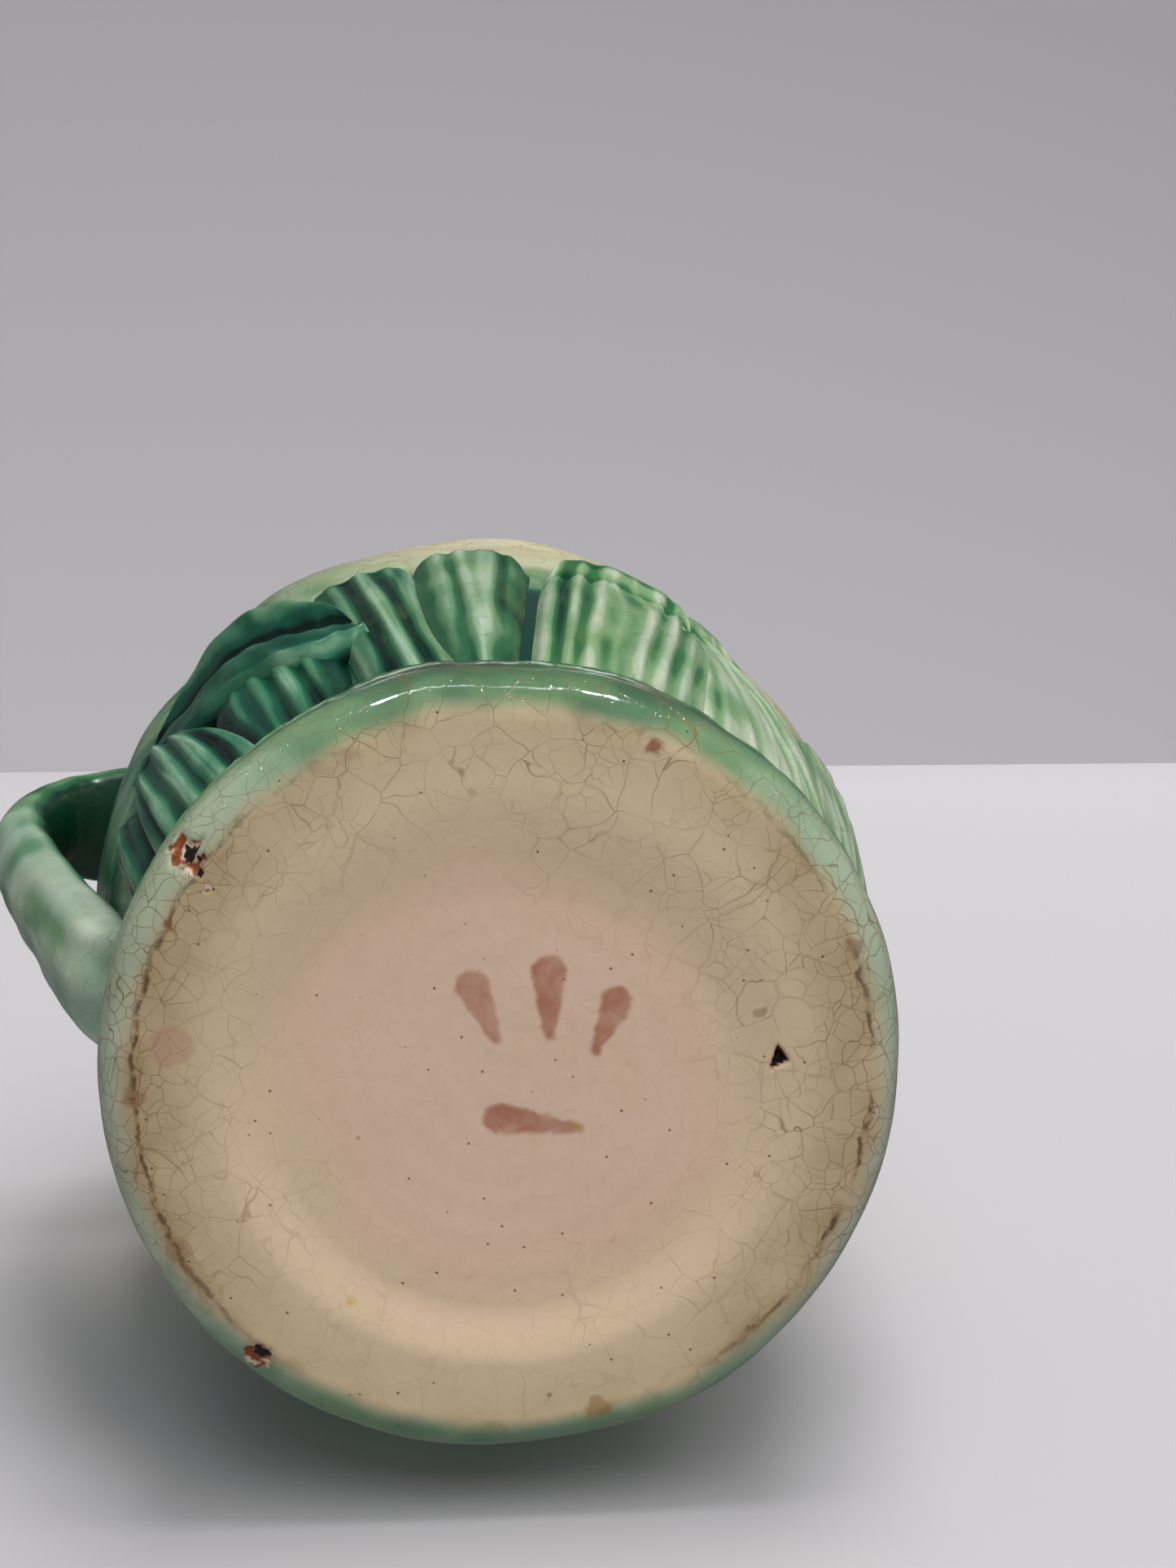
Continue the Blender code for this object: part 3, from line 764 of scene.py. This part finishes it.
def leaf_place(node):
    """The sides in degrees from the spout, and the foot and tip heights in millimetres, of a
    CAD leaf. The leaf that crosses the spout's own line has a negative first side."""
    corners = np.array([v.co for v in frame["nodes"][node].data.vertices])
    azimuth = np.degrees(np.arctan2(corners[:, 1], corners[:, 0] - AXIS_X))
    if azimuth.max() < 0:
        azimuth = -azimuth
    return azimuth.min(), azimuth.max(), corners[:, 2].min() / MM, corners[:, 2].max() / MM


def soft_least(first, second, softness):
    """The lesser of two fields, with the corner between them rounded off."""
    return -softness * np.log(np.exp(-first / softness) + np.exp(-second / softness))


def husk_leaf(node, side, form, seed, material):
    """One applied leaf: a clay shell on the wall, with a rolled margin and pressed grooves.
    Angles run from the spout; the near side is the one next to it."""
    form = {**LEAF_DEFAULTS, **form}
    near, far, low, high = leaf_place(node)
    rng = np.random.default_rng(seed)
    loose = 1.0 if side > 0 else 0.0
    steps = np.linspace(0, 1, len(form["near"]))
    cols = int(70 + (far - near) * 4.5)
    U, V = np.meshgrid(np.linspace(-1, 1, cols), np.linspace(0, 1, 150))
    blend = (U + 1) / 2
    low -= 0.9
    near_edge = near - hermite(np.stack([form["near"], steps], -1), V)[..., 0]
    far_edge = far + hermite(np.stack([form["far"], steps], -1), V)[..., 0]
    wander = 0.3 * ripple(seed, V * 40, 0 * V, 26.0)
    turned = near_edge + (far_edge - near_edge) * blend + wander * (0.6 + loose)
    top_near, top_middle, top_far = form["top"]
    crest = top_near * (1 - blend) + top_far * blend + (top_middle - (top_near + top_far) / 2) * (
        1 - U ** 2)
    corner = 4.4 * smoothstep(np.abs(U), 0.62, 1.0) ** 2 * smoothstep(V, 0.55, 1.0)
    height = low + (crest - low) * V - corner + 0.35 * ripple(seed + 1, U * 10, 0 * V, 9.0) * V
    radius = belly_radius(side * turned, height)
    around = np.radians(1.0) * radius
    width = np.maximum(far_edge - near_edge, 1.0) * around
    side_gap = np.minimum(blend, 1 - blend) * width
    top_gap = (1 - V) * (high - low)
    edge = np.maximum(soft_least(side_gap, top_gap, 0.9), 0.0)
    inner = smoothstep(edge, 1.0, 3.4)

    dip, ridge = np.zeros(U.shape), np.zeros(U.shape)
    for number, (at_low, at_high, half, depth) in enumerate(form["grooves"]):
        shift = loose * rng.uniform(-1.0, 1.0)
        line = at_low + (at_high - at_low) * (height - 15.0) / 35.0 + shift
        line = line + 0.12 * ripple(seed + 20 + number, height, 0 * V, 26.0)
        off = (turned - line) * around
        hollow = half * (1 + 0.08 * ripple(seed + 40 + number, height, 0 * V, 26.0))
        strength = depth * (0.85 + 0.15 * ripple(seed + 60 + number, height, 0 * V, 30.0))
        dip = np.maximum(dip, strength * bump(off, 0, hollow))
        for shoulder in (-1, 1):
            crest_line = bump(off, shoulder * (half * 1.35 + 0.6), 0.75)
            ridge = np.maximum(ridge, crest_line * min(1.0, 0.45 + 0.6 * depth))
    ridge = ridge * (1 - np.clip(dip, 0, 1))
    # Between the grooves the leaf is finely ribbed, about every 3 millimetres.
    count = form.get("ribs", round((far - near) / RIB_SPACING))
    ribbed = form["ribbed"]
    phase = blend * count + 0.12 * ripple(seed + 7, height, U, 30.0)
    rib = 0.5 + 0.5 * np.cos(2 * math.pi * phase)
    rib_line = ribbed * rib ** form["sharp"] * (1 - np.clip(1.6 * dip + 0.6 * ridge, 0, 1))
    fade = inner * (1 - 0.3 * smoothstep(V, 0.85, 1.0)) * (1 - form["worn"])

    over = form["over"]
    thick = form.get("thick", 2.6 if over else 1.5)
    rolled = form.get("rolled", 0.5 if over else 0.15)
    crown = form["crown"] * (1 - U ** 2)
    lift = thick * (0.35 * smoothstep(edge, -0.25, 0.9) + 0.65 * smoothstep(edge, 0.0, 2.6))
    lift = lift + crown * smoothstep(edge, 0, 3)
    lift = lift + rolled * bump(edge, 1.1, 0.8) - 0.7 * rolled * bump(edge, 2.9, 0.7)
    bead = form["bead"] * smoothstep(V, 0.5, 0.8)
    lift = lift + bead * (bump(top_gap, 2.6, 2.0) - 0.5 * bump(top_gap, 6.4, 1.2))
    lift = lift + fade * (0.34 * ridge - 0.85 * dip + 0.24 * rib_line)
    lift = lift + 0.10 * ripple(seed + 3, turned, height, 16.0)
    lift = lift + 0.012 * ripple(seed + 4, turned * 2, height, 3.0) * inner
    lift = lift - 0.6 * smoothstep(-height, -low - 2.0, -low)
    azimuth = side * np.radians(turned)
    front = round_axis(radius + lift, azimuth, height)
    back = round_axis(radius - 0.25 + 0 * lift, azimuth, height)

    pool_and_shade = 0.42 + form["deep"] + 0.08 * ripple(seed + 5, turned, height, 14)
    pool_and_shade = pool_and_shade + fade * (0.40 * dip - 0.32 * ridge - 0.22 * rib_line
                          + 0.08 * ribbed * (1 - rib))
    pool_and_shade = pool_and_shade - 0.30 * bump(edge, 0.8, 0.8) * (1.0 if over else 0.0)
    pool_and_shade = pool_and_shade + 0.55 * rolled * bump(edge, 2.9, 0.8) + 0.3 * bead * bump(top_gap, 6.4, 1.3)
    # Pooled glaze and painted shade darken the sides that lie under neighbouring leaves.
    tucked_shade = np.exp(-side_gap / form["shade"]) * smoothstep(top_gap, 0.5, 3.0)
    pool_and_shade = pool_and_shade + (0.05 if over else 0.55) * tucked_shade
    # Painted shade in the crease where the leaf's root meets the foot.
    pool_and_shade = pool_and_shade + 0.30 * np.exp(-(height - low - 0.8) / 1.5)
    pool_and_shade = pool_and_shade + 0.16 * smoothstep(turned, 95.0, 150.0)
    pool_and_shade = pool_and_shade - 0.10 * smoothstep(-turned, -80.0, -45.0)
    tone = 1 - 0.94 * smoothstep(turned, 70.0, 138.0)
    tone = tone + 0.15 * ripple(seed + 6, turned, height, 16.0)
    name = node.replace("husk_leaf", "glazed_leaf")
    piece = plate_piece(name, front, back,
                        {"pool_and_shade": np.clip(pool_and_shade, 0, 1), "tone": np.clip(tone, 0, 1)}, material)
    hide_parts(node)


def folded_leaf(node, side, material):
    """The long leaf bent over sideways: two flanks that meet in a deep dark fold."""
    U, V = np.meshgrid(np.linspace(-1, 1, 110), np.linspace(0, 1, 200))
    line = hermite(FOLD_MIDLINE, V)
    half = line[..., 2] * (1 + 0.015 * ripple(62, V * 40, 0 * V, 9.0))
    half = half * (0.35 + 0.65 * np.sqrt(smoothstep(V, 0.0, 0.1)))
    height = line[..., 1] + U * half
    tip = FOLD_MIDLINE[-1][0]
    turned = tip + (line[..., 0] - tip) * (1.0 if side < 0 else 0.8)
    turned = turned + 0.3 * ripple(61, V * 30, U, 16.0)
    radius = belly_radius(side * turned, height)
    edge = (1 - np.abs(U)) * half
    tip_gap = (1 - V) * 40.0
    edge = np.maximum(soft_least(edge, tip_gap, 0.8), 0.0)
    from_fold = height - line[..., 3]
    open_part = smoothstep(V, -0.1, 0.12) * smoothstep(1 - V, 0.0, 0.14)
    valley = bump(from_fold, 0.2, 1.3) * open_part
    shade = np.exp(-np.maximum(from_fold, 0) / 3.0) * smoothstep(from_fold, -0.5, 0.2) * open_part
    lower = bump(from_fold / half, -0.52, 0.40)
    upper = bump(from_fold / half, 0.62, 0.36)
    thin = smoothstep(1 - V, -0.05, 0.45) * smoothstep(V, -0.05, 0.45)
    settled = 0.25 + 0.75 * smoothstep(V, 0.0, 0.4)
    lift = 2.3 * settled * smoothstep(edge, -0.25, 1.4) + thin * (0.9 * lower + 2.2 * upper)
    lift = lift - 0.6 * valley - 0.2 * shade * thin
    lift = lift + 0.45 * bump(edge, 0.8, 0.6) + 0.12 * ripple(63, from_fold, V * 40, 5.0)
    veins = np.sin(V * 60 - np.abs(from_fold) * 0.35) * smoothstep(edge, 1.0, 3.0) * 0.06
    lift = lift + veins + 0.6 * settled
    azimuth = side * np.radians(turned)
    front = round_axis(radius + lift, azimuth, height)
    back = round_axis(radius - 0.2 + 0 * lift, azimuth, height)
    # The fold is dark with pooled glaze and painted shade, and painted shade darkens the flank
    # just above it.
    pool_and_shade = 0.70 + 0.8 * valley + 0.20 * shade - 0.08 * lower - 0.22 * upper
    pool_and_shade = pool_and_shade - 0.42 * bump(edge, 0.6, 0.7) * (0.45 + 0.55 * smoothstep(V, 0.2, 0.8))
    pool_and_shade = pool_and_shade + 0.12 * ripple(64, from_fold, V * 40, 7.0) - 0.30 * smoothstep(V, 0.93, 1.0)
    # A painted shadow along the lower flank's edge.
    pool_and_shade = pool_and_shade + 0.4 * bump(edge, 0.0, 0.35) * (U < 0)
    tone = 0.05 + 0.5 * smoothstep(from_fold, 4.0, 9.0) * smoothstep(V, 0.2, 0.6)
    piece = plate_piece(node.replace("folded", "glazed_folded"), front, back,
                        {"pool_and_shade": np.clip(pool_and_shade, 0, 1), "tone": tone}, material)
    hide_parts(node)


def handle():
    """The pulled strap, with soft lengthwise ribs and thumbed roots that run into the wall."""
    stations, sides = 260, 96
    t = np.linspace(0, 1, stations)
    centre = hermite(HANDLE_PATH, t)
    section = hermite(HANDLE_SECTION, t)
    tangent = np.gradient(centre, axis=0)
    tangent /= np.linalg.norm(tangent, axis=1)[:, None]
    outward = np.stack([tangent[:, 1], -tangent[:, 0]], -1)
    T, K = np.meshgrid(t, np.linspace(0, 2 * math.pi, sides, endpoint=False), indexing="ij")
    root = smoothstep(-T, -0.34, -0.08) + 0.8 * smoothstep(T, 0.86, 1.0)
    outer_face = smoothstep(np.cos(K), -0.35, 0.5)
    ribs = np.cos(K * 7 + 0.5 * np.sin(T * 9)) * outer_face
    swell = 1 + 0.018 * ripple(71, T * 160, K * 5, 22.0)
    relief = 0.14 * ribs * (0.3 + root) + 0.07 * ripple(72, T * 160, K * 6, 9.0)
    # The upper root swells where it meets the wall; the lower one thins out and spreads on it.
    gap = np.maximum(centre[:, 0] - wall_radius(centre[:, 1]), 0.0)
    fillet = (1.6 * np.exp(-gap / 2.2) * smoothstep(t, 0.8, 0.95))[:, None]
    section[:, 1] *= 0.3 + 0.7 * smoothstep(t, 0.0, 0.09)
    section[:, 0] *= 1.22 - 0.22 * smoothstep(t, 0.0, 0.1)
    depth = (section[:, 1, None] * swell + relief + fillet) * np.cos(K)
    depth = depth * (1 - 0.12 * smoothstep(-np.cos(K), 0.2, 0.9))
    width = (section[:, 0, None] * swell + relief + fillet) * np.sin(K)
    distance = centre[:, 0, None] + outward[:, 0, None] * depth
    height = centre[:, 1, None] + outward[:, 1, None] * depth
    points = np.stack([-distance, width, height], -1)
    pool_and_shade = 0.26 + 0.34 * smoothstep(T, 0.35, 0.75) - 0.08 * ribs * (0.3 + 0.7 * root)
    pool_and_shade = pool_and_shade + 0.10 * ripple(73, T * 160, K * 6, 18.0)
    # Painted shade, with pooled glaze, on the inner face that turns towards the wall.
    pool_and_shade = pool_and_shade + 0.62 * smoothstep(-np.cos(K), 0.05, 0.7)
    caps = np.concatenate([points[:1].mean(1, keepdims=True).repeat(sides, 1),
                           points, points[-1:].mean(1, keepdims=True).repeat(sides, 1)])
    pool_and_shade = np.concatenate([pool_and_shade[:1], pool_and_shade, pool_and_shade[-1:]])
    piece = turned_piece("handle_glazed", caps, {"pool_and_shade": np.clip(pool_and_shade, 0, 1)}, handle_glaze())
    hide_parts("handle")


def leaves():
    material = leaf_glaze()
    husk_leaf("husk_leaf_front", 1, FRONT_FORM, 100, material)
    for side, name in ((-1, "right"), (1, "left")):
        for number, form in LEAF_FORMS.items():
            seed = 1000 + number * 100 + (1 + side) * 3000
            husk_leaf(f"husk_leaf_{name}_{number}", side, form, seed, material)
        folded_leaf(f"folded_leaf_{name}", side, material)


# ---------------------------------------------------------------- stage, light and camera
def one_sided(name, tone, painted_light_tone=None, axis="Z", near=0.0, far=1.0):
    """A plain surface that is seen from its front only. Its faintly violet grey may drift from
    one tone at near to another at far along one axis; that drift is painted light."""
    material = bpy.data.materials.new(name)
    material.use_nodes = True
    tree = material.node_tree
    shader = tree.nodes["Principled BSDF"]
    shader.inputs["Base Color"].default_value = (tone, tone * VIOLET, tone, 1.0)
    shader.inputs["Roughness"].default_value = 0.7
    shader.inputs["Specular IOR Level"].default_value = 0.2
    # A drift of grey along an axis, painted light.
    if painted_light_tone is not None:
        place = tree.nodes.new("ShaderNodeTexCoord")
        split = tree.nodes.new("ShaderNodeSeparateXYZ")
        drift = tree.nodes.new("ShaderNodeMapRange")
        less = tree.nodes.new("ShaderNodeMath")
        tint = tree.nodes.new("ShaderNodeCombineColor")
        for socket, number in zip(drift.inputs[1:5], (near, far, tone, painted_light_tone)):
            socket.default_value = number
        less.operation = "MULTIPLY"
        less.inputs[1].default_value = VIOLET
        for source, target in ((place.outputs["Object"], split.inputs[0]),
                               (split.outputs[axis], drift.inputs[0]),
                               (drift.outputs[0], less.inputs[0]),
                               (drift.outputs[0], tint.inputs["Red"]),
                               (less.outputs[0], tint.inputs["Green"]),
                               (drift.outputs[0], tint.inputs["Blue"]),
                               (tint.outputs[0], shader.inputs["Base Color"])):
            tree.links.new(source, target)
    clear = tree.nodes.new("ShaderNodeBsdfTransparent")
    geometry = tree.nodes.new("ShaderNodeNewGeometry")
    blend = tree.nodes.new("ShaderNodeMixShader")
    tree.links.new(geometry.outputs["Backfacing"], blend.inputs[0])
    tree.links.new(shader.outputs[0], blend.inputs[1])
    tree.links.new(clear.outputs[0], blend.inputs[2])
    tree.links.new(blend.outputs[0], tree.nodes["Material Output"].inputs["Surface"])
    return material


def stage_plane(name, corners, material):
    """A flat stage surface that is seen and shaded but takes no light from the jug."""
    mesh = bpy.data.meshes.new(name)
    mesh.from_pydata(corners, [], [(0, 1, 2, 3)])
    mesh.materials.append(material)
    plane = bpy.data.objects.new(name, mesh)
    bpy.context.scene.collection.objects.link(plane)
    plane.visible_shadow = False
    plane.visible_diffuse = False
    plane.visible_glossy = False
    plane.visible_transmission = False


def stage():
    def beside(across, gap, z):
        """A point at that distance under the jug, across the table and along its axis."""
        return (AXIS_X + across * math.cos(TABLE_TURN) + gap * math.sin(TABLE_TURN),
                -across * math.sin(TABLE_TURN) + gap * math.cos(TABLE_TURN), z)

    low = TABLE_GAP + TABLE_START * TABLE_SLOPE
    high = TABLE_GAP + TABLE_END * TABLE_SLOPE
    far, wide, tall = FLOOR_REACH, TABLE_REACH, WALL_REACH
    stage_plane("floor", [(-far, -far, FLOOR_LEVEL), (far, -far, FLOOR_LEVEL),
                          (far, far, FLOOR_LEVEL), (-far, far, FLOOR_LEVEL)],
                one_sided("pale_floor", *FLOOR_GREY))
    stage_plane("table", [beside(-wide, low, TABLE_START), beside(wide, low, TABLE_START),
                          beside(wide, high, TABLE_END), beside(-wide, high, TABLE_END)],
                one_sided("pale_table", *TABLE_GREY_AND_PAINTED_LIGHT))
    stage_plane("back_wall", [beside(-tall, high, TABLE_END), beside(tall, high, TABLE_END),
                              beside(tall, -tall, TABLE_END), beside(-tall, -tall, TABLE_END)],
                one_sided("pale_wall", *WALL_GREY_AND_PAINTED_LIGHT))


def area_light(name, place, size, power, glint=False):
    """A soft light that faces the jug. A glint is seen only mirrored in the glaze; the other
    lights leave no highlight."""
    data = bpy.data.lights.new(name, "AREA")
    data.shape = "RECTANGLE"
    data.size, data.size_y = size
    data.energy = power
    light = bpy.data.objects.new(name, data)
    bpy.context.scene.collection.objects.link(light)
    light.location = Vector(place) + Vector((AXIS_X, 0, 0))
    light.rotation_euler = (-Vector(place)).to_track_quat("-Z", "Y").to_euler()
    light.visible_glossy = glint
    light.visible_diffuse = not glint
    light.visible_camera = False


def world():
    """An even grey room, dimmer above the jug than below it."""
    studio = bpy.data.worlds.new("studio")
    bpy.context.scene.world = studio
    studio.use_nodes = True
    tree = studio.node_tree
    heading = tree.nodes.new("ShaderNodeTexCoord")
    split = tree.nodes.new("ShaderNodeSeparateXYZ")
    fall = tree.nodes.new("ShaderNodeMapRange")
    for socket, number in zip(fall.inputs[1:5], (-0.5, 0.7, WORLD_BELOW, WORLD_ABOVE)):
        socket.default_value = number
    background = tree.nodes["Background"]
    background.inputs["Color"].default_value = (0.95, 0.95, 1.0, 1.0)
    tree.links.new(heading.outputs["Generated"], split.inputs[0])
    tree.links.new(split.outputs["Z"], fall.inputs[0])
    tree.links.new(fall.outputs[0], background.inputs["Strength"])


def lights():
    world()
    for light in SOFT_LIGHTS:
        area_light(*light)
    for light in GLINTS:
        area_light(*light, glint=True)


def camera():
    data = bpy.data.cameras.new("camera")
    data.lens = CAMERA_LENS
    data.sensor_width = 36.0
    data.clip_start = 0.01
    cam = bpy.data.objects.new("camera", data)
    bpy.context.scene.collection.objects.link(cam)
    cam.location = CAMERA_PLACE + Vector((AXIS_X, 0, 0))
    cam.rotation_euler = Euler([math.radians(a) for a in CAMERA_TURN], "XYZ")
    bpy.context.scene.camera = cam


foot()
body()
handle()
leaves()
stage()
lights()
camera()
bpy.context.scene.view_settings.view_transform = "Standard"

bpy.context.view_layer.update()
